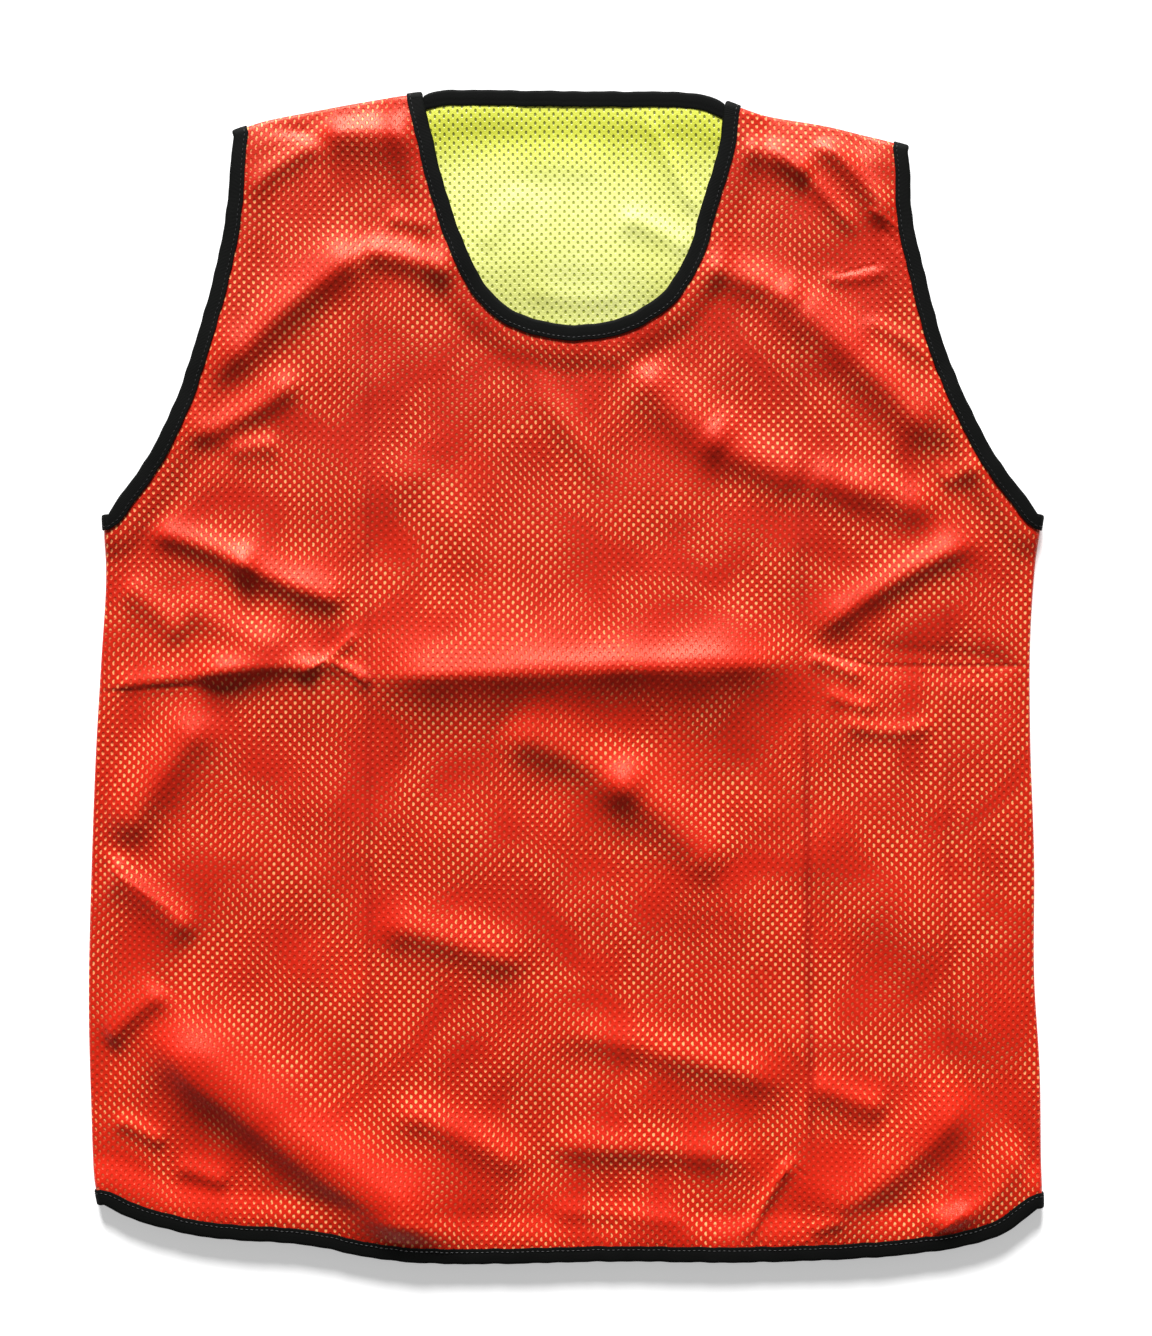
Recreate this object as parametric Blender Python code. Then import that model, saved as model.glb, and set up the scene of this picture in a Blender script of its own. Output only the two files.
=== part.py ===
"""Mesh training bib, reversible, laid flat on its back.

Two mesh plies, each a shell and a lining, lie on each other. Their sides and
shoulders roll over into a seam. A folded strip binds the neck, each armhole
and the hem, all round. The wearer's neck points along +Y, the front looks
along +Z, and the origin is the middle of the footprint, on the surface that
the bib lies on.
"""

import math
from collections import namedtuple

import bmesh
import bpy
from mathutils import Vector
from mathutils.geometry import delaunay_2d_cdt

MM = 0.001

# Cloth and bindings
WALL = 1.0 * MM            # thickness of every cloth layer and of a binding's wall
GAP = 0.3 * MM             # air between neighbouring pieces
BINDING_WIDTH = 10.0 * MM  # width of a binding, from its fold to its free edges
LINING_AIR = 0.7 * MM      # air between the two linings inside the bib

# Distances that follow from them, counted from the middle of a ply
PLY_HALF = WALL + GAP / 2
LEG_INNER = PLY_HALF + GAP
LEG_OUTER = LEG_INNER + WALL
EDGE_COVER = WALL + GAP                    # from a ply's cut edge to the binding's fold
LEG_REACH = BINDING_WIDTH - EDGE_COVER     # from the cut edge to a binding's free edge
CHAMFER = 0.9 * MM                         # softened outer corners of a binding

# A seam is a half roll: its radius, and the height of its middle
ROLL_FREE = PLY_HALF + LINING_AIR / 2
ROLL_BOUND = LEG_OUTER + GAP / 2
MIDDLE_FREE = PLY_HALF + ROLL_FREE
MIDDLE_BOUND = LEG_OUTER + ROLL_BOUND
ROLL_ANGLES = (0.0, math.radians(30), math.radians(60), math.radians(90))

# A ply keeps its bound height this far from a bound edge, and is down at the second distance
LEVEL_BAND = 11.0 * MM
SLOPE_BAND = 31.0 * MM

SEAM_SPACING = 40.0 * MM
EDGE_SPACING = 17.0 * MM
CLOTH_SPACING = 21.0 * MM
SEAM_SAMPLING = 3.0 * MM    # fine steps along which a seam's length is measured
LARGEST_REACH = 375.0 * MM  # no cloth is further from the origin, along X or Y

# Least distances of a point inside the cloth from another one, and from the border
POINT_CLEARANCE = CLOTH_SPACING * 0.5
BORDER_CLEARANCE = CLOTH_SPACING * 0.45
MERGE_DISTANCE = 1e-7
TINY_AREA = 1e-12

# Seam lines in millimetres, seen from above: hem to underarm, shoulder point to neck
SIDE_LEFT = ((-295.5, -334), (-299, -315), (-301, -270), (-302.5, -205), (-300.5, -116),
             (-298, -50), (-294.5, 10), (-291.5, 60), (-292.5, 101))
SIDE_RIGHT = ((300.5, -336), (300.2, -300), (299.5, -250), (296, -190), (296, -116),
              (293.5, -40), (293.5, 25), (297, 75), (300.5, 101))
SHOULDER_LEFT = ((-210.4, 344), (-188, 351.8), (-165, 356.5), (-121, 364.5), (-92.5, 368))
SHOULDER_RIGHT = ((215.5, 334.5), (189, 342), (166, 347.7), (122, 356.5), (101.8, 362))

# Finished edges in millimetres, the folds of the bindings, without the corners at the seams
ARMHOLE_LEFT = ((-284, 112), (-266.2, 136.7), (-247.2, 174.7), (-234.5, 212.7), (-223.8, 250.7),
                (-215.5, 292), (-212.5, 325))
ARMHOLE_RIGHT = ((291.5, 112.5), (273.1, 136.7), (252.9, 174.7), (237.7, 212.7), (227.6, 250.7),
                 (218.5, 292), (217.5, 318))
HEM = ((-276, -343), (-232, -354.5), (-165, -360), (-121, -368.5), (-77, -372), (34, -370.5),
       (122, -371), (211, -366.5), (255, -360), (278, -352))
NECK_FRONT = ((-86, 346), (-80, 320), (-68, 282), (-57, 257), (-47, 242), (-33, 231), (-15, 224.5),
              (7, 222), (29, 225), (46, 232), (62, 244), (77, 269), (86, 300), (96, 333))
NECK_BACK = ((-77, 367.5), (-62, 370.9), (-40, 372.2), (0, 371.9), (40, 371), (66, 369), (84, 364))

# Radius of the back neck edge's quarter turn beside the shoulder seam, and its halfway point
NECK_TURN = 2.5 * MM
HALF_TURN = math.radians(45)

# Distance over which the folds of a binding turn from along a seam to square to the edge
SHORT_SETTLE = 6.0 * MM
LONG_SETTLE = 70.0 * MM

# Main folds of the front, in millimetres: the crest's two ends, how high it stands, how far
# it spreads to a side, and how far its middle bows to the left of its direction.
Fold = namedtuple("Fold", "x1 y1 x2 y2 rise spread bow")
FOLDS = (
    Fold(-140, -1, 155, 10, 7.5, 17, 0),
    Fold(-296, -9, -160, 2, -2.5, 12, 3),
    Fold(150, 16, 294, 6, -2.5, 12, -2),
    Fold(150, 16, 268, 88, 5.0, 13, 6),
    Fold(-268, 96, -140, 46, 5.0, 13, 4),
    Fold(-252, 46, -146, 6, 4.0, 13, -5),
    Fold(-228, 190, -128, 284, 6.0, 15, 7),
    Fold(-146, 278, -74, 262, 5.0, 14, 5),
    Fold(-162, 340, -98, 342, 4.0, 13, 0),
    Fold(-246, 150, -164, 194, 4.0, 13, -6),
    Fold(82, 258, 140, 256, 4.5, 13, 4),
    Fold(122, 264, 250, 155, 6.0, 15, -5),
    Fold(106, 335, 158, 316, 3.5, 12, 0),
    Fold(160, 336, 206, 280, 4.0, 12, 3),
    Fold(66, 160, 194, 120, 4.5, 14, -5),
    Fold(-46, -34, 96, -132, 4.5, 14, 10),
    Fold(-116, -160, -20, -182, 3.5, 15, 0),
    Fold(-18, -226, 152, -264, 3.5, 13, 3),
    Fold(-24, -298, 128, -307, 3.5, 13, 0),
    Fold(-116, -276, -20, -316, 4.0, 13, 4),
    Fold(-260, -212, -98, -345, 8.0, 16, -4),
    Fold(-264, -208, -292, -250, 4.0, 12, 0),
    Fold(-262, -24, -266, -104, 3.0, 15, 5),
    Fold(-294, -124, -236, -182, 4.0, 13, 3),
    Fold(154, -344, 250, -266, 5.5, 14, -9),
    Fold(222, -354, 290, -308, 4.0, 12, 0),
    Fold(136, -266, 194, -273, 3.0, 12, 0),
)
LOFT = 1.5 * MM         # how far the front shell stands off its lining between the folds
FOLD_END = 0.25         # share of a fold's length over which each end dies out
FADE_START = 8.0 * MM   # the folds die out between these distances from the outline
FADE_END = 26.0 * MM
CREST_SPACING = 18.0 * MM

OBJECT_NAME = "mesh_training_bib"
RED = (0.74, 0.03, 0.012, 1.0)
YELLOW = (0.68, 0.83, 0.03, 1.0)
BLACK = (0.004, 0.004, 0.004, 1.0)
CLOTH_ROUGHNESS = 0.5
BINDING_ROUGHNESS = 0.75
SHARP_ANGLE = math.radians(40)

FRONT, BACK = 1, -1

# A spot of a ply: where it stands on the plan, which way the cloth lies from its seam,
# the seam's radius and height there, and how far round the roll it is.
Spot = namedtuple("Spot", "foot inward roll middle angle")

# A corner where a bound edge crosses a seam: the way along the seam into the cloth, and
# the way across the seam into the cloth.
Corner = namedtuple("Corner", "point along across")


def smooth(value):
    value = min(max(value, 0.0), 1.0)
    return value * value * (3.0 - 2.0 * value)


def in_metres(table):
    return [Vector((x, y)) * MM for x, y in table]


def turned_left(direction):
    return Vector((-direction.y, direction.x))


def curve_through(knots, spacing):
    """Points on a smooth curve through the knots, no further apart than the spacing."""
    first = knots[0] * 2 - knots[1]
    last = knots[-1] * 2 - knots[-2]
    chain = [first, *knots, last]
    points = [knots[0]]
    for before, start, end, after in zip(chain, chain[1:], chain[2:], chain[3:]):
        gaps = [(b - a).length ** 0.5 for a, b in ((before, start), (start, end), (end, after))]
        leave = (start - before) / gaps[0] - (end - before) / (gaps[0] + gaps[1])
        leave = (leave + (end - start) / gaps[1]) * gaps[1]
        arrive = (end - start) / gaps[1] - (after - start) / (gaps[1] + gaps[2])
        arrive = (arrive + (after - end) / gaps[2]) * gaps[1]
        steps = max(1, math.ceil((end - start).length / spacing))
        for step in range(1, steps + 1):
            t = step / steps
            point = start * (2 * t**3 - 3 * t**2 + 1) + end * (3 * t**2 - 2 * t**3)
            point += leave * (t**3 - 2 * t**2 + t) + arrive * (t**3 - t**2)
            points.append(point)
    return points


def run_lengths(points):
    lengths = [0.0]
    for a, b in zip(points, points[1:]):
        lengths.append(lengths[-1] + (b - a).length)
    return lengths


def at_length(points, lengths, wanted):
    for a, b, start, end in zip(points, points[1:], lengths, lengths[1:]):
        if wanted <= end:
            return a.lerp(b, (wanted - start) / (end - start))
    return points[-1].copy()


def seam_stations(table, cloth_side):
    """Plan point, inward direction and lift at each station of a seam, end to end."""
    line = curve_through(in_metres(table), SEAM_SAMPLING)
    lengths = run_lengths(line)
    total = lengths[-1]
    inner = total - 2 * SLOPE_BAND
    steps = max(1, math.ceil(inner / SEAM_SPACING))
    places = [0.0, LEVEL_BAND]
    places += [SLOPE_BAND + inner * step / steps for step in range(steps + 1)]
    places += [total - LEVEL_BAND, total]
    points = [at_length(line, lengths, place) for place in places]
    stations = []
    for index, (place, point) in enumerate(zip(places, points)):
        before = points[max(index - 1, 0)]
        after = points[min(index + 1, len(points) - 1)]
        inward = turned_left(after - before).normalized() * cloth_side
        near = min(place, total - place)
        lift = 1.0 - min(max((near - LEVEL_BAND) / (SLOPE_BAND - LEVEL_BAND), 0.0), 1.0)
        stations.append((point, inward, lift))
    return stations


def corner_of(stations, at_start):
    ordered = stations if at_start else stations[::-1]
    along = (ordered[1][0] - ordered[0][0]).normalized()
    return Corner(ordered[0][0], along, ordered[0][1])


def edge_stations(table, start, end, settle_end=SHORT_SETTLE, turn=0.0):
    """Cut edge points of a bound edge, each with the direction that runs into the cloth."""
    knots = [start.point - start.along * EDGE_COVER + start.across * ROLL_BOUND]
    last = end.point - end.along * EDGE_COVER + end.across * ROLL_BOUND
    if turn:
        knots += turn_knots(knots[0], start, turn)
    knots += in_metres(table)
    if turn:
        knots += turn_knots(last, end, turn)[::-1]
    knots.append(last)
    fold = curve_through(knots, EDGE_SPACING)
    lengths = run_lengths(fold)
    total = lengths[-1]
    side = 1.0 if turned_left(start.across).dot(start.along) > 0 else -1.0
    stations = []
    for index, (point, length) in enumerate(zip(fold, lengths)):
        before = fold[max(index - 1, 0)]
        after = fold[min(index + 1, len(fold) - 1)]
        ray = turned_left(after - before).normalized() * side
        ray = start.along.lerp(ray, smooth(length / SHORT_SETTLE))
        ray = end.along.lerp(ray, smooth((total - length) / settle_end)).normalized()
        stations.append((point + ray * EDGE_COVER, ray))
    return stations


def turn_knots(knot, corner, radius):
    """Two knots that turn an edge out of its seam into the open, on a quarter circle."""
    halfway = corner.across * math.sin(HALF_TURN) - corner.along * (1.0 - math.cos(HALF_TURN))
    return [knot + halfway * radius, knot + (corner.across - corner.along) * radius]


def fold_height(fold, point):
    start = Vector((fold.x1, fold.y1)) * MM
    line = Vector((fold.x2, fold.y2)) * MM - start
    share = (point - start).dot(line) / line.length_squared
    if not 0.0 < share < 1.0:
        return 0.0
    sideways = (point - start).dot(turned_left(line).normalized())
    sideways -= fold.bow * MM * 4.0 * share * (1.0 - share)
    ends = smooth(share / FOLD_END) * smooth((1.0 - share) / FOLD_END)
    return fold.rise * MM * ends * math.exp(-((sideways / (fold.spread * MM)) ** 2))


def distance_to(points, point):
    best = math.inf
    for a, b in zip(points, points[1:] + points[:1]):
        line = b - a
        share = (point - a).dot(line) / max(line.length_squared, TINY_AREA)
        share = min(max(share, 0.0), 1.0)
        best = min(best, (a + line * share - point).length)
    return best


def folded(outline):
    """Height of the front shell over its lining, as a function of the plan point."""
    def height(point):
        room = distance_to(outline, point)
        fade = smooth((room - FADE_START) / (FADE_END - FADE_START))
        total = LOFT + sum(fold_height(fold, point) for fold in FOLDS)
        return max(total, 0.0) * fade
    return height


def crest_points():
    for fold in FOLDS:
        start = Vector((fold.x1, fold.y1)) * MM
        line = Vector((fold.x2, fold.y2)) * MM - start
        steps = math.ceil(line.length / CREST_SPACING)
        for step in range(1, steps):
            share = step / steps
            bow = turned_left(line).normalized() * fold.bow * MM * 4.0 * share * (1.0 - share)
            yield start + line * share + bow


class Ply:
    """The plan of one ply: spots, and the triangles between them."""

    def __init__(self):
        self.spots = []
        self.triangles = []

    def add(self, spot):
        self.spots.append(spot)
        return len(self.spots) - 1

    def flat(self, point, lift):
        roll = ROLL_FREE + (ROLL_BOUND - ROLL_FREE) * lift
        middle = MIDDLE_FREE + (MIDDLE_BOUND - MIDDLE_FREE) * lift
        return self.add(Spot(point, Vector((0, 0)), roll, middle, ROLL_ANGLES[-1]))

    def point(self, index):
        spot = self.spots[index]
        return spot.foot + spot.inward * spot.roll

    def grid(self, rows):
        for low, high in zip(rows, rows[1:]):
            for a, b, c, d in zip(low, low[1:], high[1:], high):
                self.triangles += [(a, b, c), (a, c, d)]

    def seam(self, stations):
        """The half roll along a seam. Returns its last row, where the ply lies flat."""
        rows = []
        for angle in ROLL_ANGLES:
            row = []
            for foot, inward, lift in stations:
                roll = ROLL_FREE + (ROLL_BOUND - ROLL_FREE) * lift
                middle = MIDDLE_FREE + (MIDDLE_BOUND - MIDDLE_FREE) * lift
                row.append(self.add(Spot(foot, inward, roll, middle, angle)))
            rows.append(row)
        self.grid(rows)
        return rows[-1]

    def band(self, stations, first, last):
        """The level and sloping strips beside a bound edge. Returns the innermost row."""
        rows = [[first[0]], [first[1]], [first[2]]]
        for cut, ray in stations[1:-1]:
            rows[0].append(self.flat(cut, 1.0))
            rows[1].append(self.flat(cut + ray * LEVEL_BAND, 1.0))
            rows[2].append(self.flat(cut + ray * SLOPE_BAND, 0.0))
        for row, index in zip(rows, last):
            row.append(index)
        self.grid(rows)
        return rows[-1]

    def fill(self, border, inner_points):
        """Triangles inside the border, through the inner points."""
        corners = [self.point(index) for index in border]
        kept = []
        for point in inner_points:
            apart = all((point - other).length > POINT_CLEARANCE for other in kept)
            within = apart and inside(corners, point)
            if within and distance_to(corners, point) > BORDER_CLEARANCE:
                kept.append(point)
        indices = list(border) + [self.flat(point, 0.0) for point in kept]
        rim = [(index, (index + 1) % len(border)) for index in range(len(border))]
        spots = corners + kept
        points, _, faces, origins, _, _ = delaunay_2d_cdt(spots, rim, [], 0, MERGE_DISTANCE, True)
        for face in faces:
            centre = sum((points[corner] for corner in face), Vector((0, 0))) / 3.0
            if inside(corners, centre):
                self.triangles.append(tuple(indices[origins[corner][0]] for corner in face))


def inside(corners, point):
    found = False
    for a, b in zip(corners, corners[1:] + corners[:1]):
        if (a.y > point.y) != (b.y > point.y):
            crossing = a.x + (b.x - a.x) * (point.y - a.y) / (b.y - a.y)
            if point.x < crossing:
                found = not found
    return found


def cloth_grid():
    """A triangular grid of points over the whole bib."""
    row_height = CLOTH_SPACING * math.sqrt(3) / 2
    rows = round(LARGEST_REACH / row_height)
    columns = round(LARGEST_REACH / CLOTH_SPACING)
    for row in range(-rows, rows + 1):
        shift = CLOTH_SPACING / 2 if row % 2 else 0.0
        for column in range(-columns, columns + 1):
            yield Vector((column * CLOTH_SPACING + shift, row * row_height))


def make_ply(seams, edges, neck, inner_points):
    """Joins the seams' rolls, the bands and the middle of one ply."""
    ply = Ply()
    rows = {name: ply.seam(stations) for name, stations in seams.items()}
    side_left, side_right = rows["side_left"], rows["side_right"]
    shoulder_left, shoulder_right = rows["shoulder_left"], rows["shoulder_right"]
    arm_left = ply.band(edges["armhole_left"], side_left[::-1][:3], shoulder_left[:3])
    neck_row = ply.band(neck, shoulder_left[::-1][:3], shoulder_right[::-1][:3])
    arm_right = ply.band(edges["armhole_right"], side_right[::-1][:3], shoulder_right[:3])
    hem_row = ply.band(edges["hem"], side_left[:3], side_right[:3])
    border = side_left[2:-2] + arm_left[1:] + shoulder_left[3:-2] + neck_row[1:]
    border += shoulder_right[2:-3][::-1] + arm_right[::-1][1:] + side_right[2:-3][::-1]
    border += hem_row[::-1][1:-1]
    ply.fill(border, inner_points)
    return ply


def place(spot, offset, side, height=None):
    """World point of a spot, an offset away from the middle of the ply."""
    reach = spot.roll + offset
    plan = spot.foot + spot.inward * (spot.roll - reach * math.cos(spot.angle))
    up = max(reach * math.sin(spot.angle), GAP / 2)
    level = spot.angle == ROLL_ANGLES[-1]
    rise = height(plan) if height and level else 0.0
    return Vector((plan.x, plan.y, spot.middle + side * up + rise))


def sheet_mesh(ply, inner, outer, side, height=None):
    """A closed wall between two offsets of a ply."""
    mesh = bmesh.new()
    layers = []
    for offset in (inner, outer):
        layers.append([mesh.verts.new(place(spot, offset, side, height)) for spot in ply.spots])
    edges = {}
    for triangle in ply.triangles:
        for a, b in zip(triangle, triangle[1:] + triangle[:1]):
            key = (min(a, b), max(a, b))
            edges[key] = edges.get(key, 0) + 1
        for layer in layers:
            mesh.faces.new([layer[index] for index in triangle])
    for (a, b), uses in edges.items():
        if uses == 1:
            mesh.faces.new((layers[0][a], layers[0][b], layers[1][b], layers[1][a]))
    loose = [vert for vert in mesh.verts if not vert.link_faces]
    bmesh.ops.delete(mesh, geom=loose, context="VERTS")
    return mesh


BINDING_SECTION = (
    (LEG_REACH, LEG_OUTER),
    (CHAMFER - EDGE_COVER, LEG_OUTER),
    (-EDGE_COVER, LEG_OUTER - CHAMFER),
    (-EDGE_COVER, CHAMFER - LEG_OUTER),
    (CHAMFER - EDGE_COVER, -LEG_OUTER),
    (LEG_REACH, -LEG_OUTER),
    (LEG_REACH, -LEG_INNER),
    (-GAP, -LEG_INNER),
    (-GAP, LEG_INNER),
    (LEG_REACH, LEG_INNER),
)


def level_section(cut, ray, side):
    """The binding's section where its ply lies level."""
    section = []
    for along, offset in BINDING_SECTION:
        plan = cut + ray * along
        section.append(Vector((plan.x, plan.y, MIDDLE_BOUND + side * (ROLL_BOUND + offset))))
    return section


def rolled_section(corner, angle):
    """The binding's section on the way over a seam."""
    section = []
    for along, offset in BINDING_SECTION:
        reach = ROLL_BOUND + offset
        plan = corner.point + corner.along * along
        plan += corner.across * (ROLL_BOUND - reach * math.cos(angle))
        section.append(Vector((plan.x, plan.y, MIDDLE_BOUND + reach * math.sin(angle))))
    return section


def binding_mesh(front, back, start, end):
    """A strip round a loop: along the front edge, over a seam, back, and over the other."""
    turns = list(ROLL_ANGLES[-2:0:-1]) + [-angle for angle in ROLL_ANGLES[:-1]]
    sections = [level_section(cut, ray, FRONT) for cut, ray in front]
    sections += [rolled_section(end, angle) for angle in turns]
    sections += [level_section(cut, ray, BACK) for cut, ray in back[::-1]]
    sections += [rolled_section(start, angle) for angle in turns[::-1]]
    mesh = bmesh.new()
    rings = [[mesh.verts.new(point) for point in section] for section in sections]
    for ring, following in zip(rings, rings[1:] + rings[:1]):
        for a, b, c, d in zip(ring, ring[1:] + ring[:1], following[1:] + following[:1], following):
            mesh.faces.new((a, b, c, d))
    return mesh


def finish_material(name, color, roughness):
    material = bpy.data.materials.new(name)
    material.use_nodes = True
    shader = material.node_tree.nodes["Principled BSDF"]
    shader.inputs["Base Color"].default_value = color
    shader.inputs["Roughness"].default_value = roughness
    shader.inputs["Metallic"].default_value = 0.0
    material.diffuse_color = color
    return material


def add_object(name, mesh, collection, color, roughness):
    bmesh.ops.recalc_face_normals(mesh, faces=mesh.faces)
    bmesh.ops.triangulate(mesh, faces=mesh.faces)
    data = bpy.data.meshes.new(name)
    mesh.to_mesh(data)
    mesh.free()
    data.shade_smooth()
    data.set_sharp_from_angle(angle=SHARP_ANGLE)
    data.materials.append(finish_material(name, color, roughness))
    piece = bpy.data.objects.new(name, data)
    collection.objects.link(piece)
    return piece


def main():
    for old in list(bpy.data.objects):
        bpy.data.objects.remove(old, do_unlink=True)
    collection = bpy.data.collections.new(OBJECT_NAME)
    bpy.context.scene.collection.children.link(collection)

    seams = {
        "side_left": seam_stations(SIDE_LEFT, -1),
        "side_right": seam_stations(SIDE_RIGHT, 1),
        "shoulder_left": seam_stations(SHOULDER_LEFT, -1),
        "shoulder_right": seam_stations(SHOULDER_RIGHT, 1),
    }
    foot = {name: corner_of(stations, True) for name, stations in seams.items()}
    head = {name: corner_of(stations, False) for name, stations in seams.items()}
    ends = {
        "armhole_left": (head["side_left"], foot["shoulder_left"]),
        "armhole_right": (head["side_right"], foot["shoulder_right"]),
        "hem": (foot["side_left"], foot["side_right"]),
        "neck": (head["shoulder_left"], head["shoulder_right"]),
    }
    edges = {
        "armhole_left": edge_stations(ARMHOLE_LEFT, *ends["armhole_left"], LONG_SETTLE),
        "armhole_right": edge_stations(ARMHOLE_RIGHT, *ends["armhole_right"], LONG_SETTLE),
        "hem": edge_stations(HEM, *ends["hem"]),
    }
    neck_front = edge_stations(NECK_FRONT, *ends["neck"])
    neck_back = edge_stations(NECK_BACK, *ends["neck"], turn=NECK_TURN)

    outline = [point for point, _, _ in seams["side_left"]]
    outline += [cut for cut, _ in edges["armhole_left"]]
    outline += [point for point, _, _ in seams["shoulder_left"]]
    outline += [cut for cut, _ in neck_front]
    outline += [point for point, _, _ in seams["shoulder_right"][::-1]]
    outline += [cut for cut, _ in edges["armhole_right"][::-1]]
    outline += [point for point, _, _ in seams["side_right"][::-1]]
    outline += [cut for cut, _ in edges["hem"][::-1]]

    fine_points = list(crest_points()) + list(cloth_grid())
    front_shell_ply = make_ply(seams, edges, neck_front, fine_points)
    front_lining_ply = make_ply(seams, edges, neck_front, [])
    back_ply = make_ply(seams, edges, neck_back, [])

    near, far = GAP / 2, PLY_HALF
    shell = sheet_mesh(front_shell_ply, near, far, FRONT, folded(outline))
    add_object("front_shell", shell, collection, RED, CLOTH_ROUGHNESS)
    lining = sheet_mesh(front_lining_ply, -far, -near, FRONT)
    add_object("front_lining", lining, collection, YELLOW, CLOTH_ROUGHNESS)
    lining = sheet_mesh(back_ply, -far, -near, BACK)
    add_object("back_lining", lining, collection, YELLOW, CLOTH_ROUGHNESS)
    shell = sheet_mesh(back_ply, near, far, BACK)
    add_object("back_shell", shell, collection, RED, CLOTH_ROUGHNESS)

    bindings = {
        "neck_binding": (neck_front, neck_back, "neck"),
        "armhole_binding_left": (edges["armhole_left"], edges["armhole_left"], "armhole_left"),
        "armhole_binding_right": (edges["armhole_right"], edges["armhole_right"], "armhole_right"),
        "hem_binding": (edges["hem"], edges["hem"], "hem"),
    }
    for name, (front, back, edge) in bindings.items():
        binding = binding_mesh(front, back, *ends[edge])
        add_object(name, binding, collection, BLACK, BINDING_ROUGHNESS)


main()
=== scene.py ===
# %% [markdown]
# A reversible mesh training bib, laid flat on a pale floor and seen from above.
# The real bib is four layers of knitted mesh: a red shell and a yellow-green lining
# at the front, and the same two at the back. Black tape is folded over the neck,
# the armholes and the hem. This lesson lays each layer out on the plan of the
# packed model, raises the folds that packing left in it, and finishes the mesh,
# the tape and the sewing with procedural materials.

# %% Load the packed model
import math

import bpy
import numpy as np
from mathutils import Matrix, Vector
from mathutils.geometry import delaunay_2d_cdt


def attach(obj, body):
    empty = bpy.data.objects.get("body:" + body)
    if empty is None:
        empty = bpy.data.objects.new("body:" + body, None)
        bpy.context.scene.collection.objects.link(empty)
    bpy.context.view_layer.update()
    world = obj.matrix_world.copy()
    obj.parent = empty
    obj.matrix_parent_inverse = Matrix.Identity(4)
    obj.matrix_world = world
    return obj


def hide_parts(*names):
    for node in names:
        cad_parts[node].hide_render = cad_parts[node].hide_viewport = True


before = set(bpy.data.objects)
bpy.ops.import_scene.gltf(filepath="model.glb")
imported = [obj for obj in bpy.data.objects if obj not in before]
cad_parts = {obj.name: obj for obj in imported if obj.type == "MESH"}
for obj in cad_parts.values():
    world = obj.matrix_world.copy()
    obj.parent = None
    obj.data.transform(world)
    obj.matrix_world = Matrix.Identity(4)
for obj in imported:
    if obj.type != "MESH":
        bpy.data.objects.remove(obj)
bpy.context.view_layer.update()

MM = 0.001
print("pieces in the frame:", sorted(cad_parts))

# %% [markdown]
# The camera looks straight down, as the photograph does, and its picture is 846 mm
# high at the height of the cloth. A wide, low sun from beyond the neck rakes over
# the folds, so their near sides fall into shade, and a pale sky fills that shade.

# %% Camera, light and floor
PICTURE_CENTRE = (6.0 * MM, 5.0 * MM)
PICTURE_HEIGHT = 845.7 * MM
LENS = 60.0
SENSOR = 36.0
CLOTH_TOP = 8.0 * MM
SUN_STRENGTH = 7.7
SUN_WIDTH = math.radians(20)
SUN_TURN = (math.radians(-65), 0.0, math.radians(4))
SKY_STRENGTH = 0.14
FLOOR_HALF = 3.0
FLOOR_LEVEL = -0.3 * MM

scene = bpy.context.scene
camera_data = bpy.data.cameras.new("camera")
camera_data.sensor_fit = "VERTICAL"
camera_data.sensor_height = SENSOR
camera_data.lens = LENS
camera = bpy.data.objects.new("camera", camera_data)
distance_up = PICTURE_HEIGHT / SENSOR * LENS
camera.location = (*PICTURE_CENTRE, distance_up + CLOTH_TOP)
scene.collection.objects.link(camera)
scene.camera = camera

sun_data = bpy.data.lights.new("sun", "SUN")
sun_data.energy = SUN_STRENGTH
sun_data.angle = SUN_WIDTH
sun = bpy.data.objects.new("sun", sun_data)
sun.rotation_euler = SUN_TURN
scene.collection.objects.link(sun)

world = bpy.data.worlds.new("studio")
world.use_nodes = True
sky = world.node_tree.nodes["Background"]
sky.inputs["Color"].default_value = (1.0, 1.0, 1.0, 1.0)
sky.inputs["Strength"].default_value = SKY_STRENGTH
scene.world = world
scene.view_settings.view_transform = "Standard"

floor_mesh = bpy.data.meshes.new("floor")
corners = [(-1, -1), (1, -1), (1, 1), (-1, 1)]
floor_points = [(x * FLOOR_HALF, y * FLOOR_HALF, FLOOR_LEVEL) for x, y in corners]
floor_mesh.from_pydata(floor_points, [], [(0, 1, 2, 3)])
floor = bpy.data.objects.new("floor", floor_mesh)
scene.collection.objects.link(floor)


def new_material(name, roughness, gloss, color=(0.9, 0.9, 0.9, 1.0)):
    """A material, and the shader whose sockets say how it looks."""
    material = bpy.data.materials.new(name)
    material.use_nodes = True
    shader = material.node_tree.nodes["Principled BSDF"]
    shader.inputs["Base Color"].default_value = color
    shader.inputs["Roughness"].default_value = roughness
    shader.inputs["Specular IOR Level"].default_value = gloss
    return material, shader


floor_paint, floor_shader = new_material("pale floor", 0.9, 0.0)
floor_shader.inputs["Emission Color"].default_value = (1.0, 1.0, 1.0, 1.0)
floor_shader.inputs["Emission Strength"].default_value = 0.4
floor_mesh.materials.append(floor_paint)
print("camera stands", round(distance_up, 3), "m above the cloth")

# %% [markdown]
# A flat pattern comes first, as it does for the maker. The side and shoulder seams
# and the bound edges are smooth curves through a few measured points, in
# millimetres seen from above. A Catmull-Rom curve passes through each point, and
# it is cut into even steps, so that the cloth's net has even cells.

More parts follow.
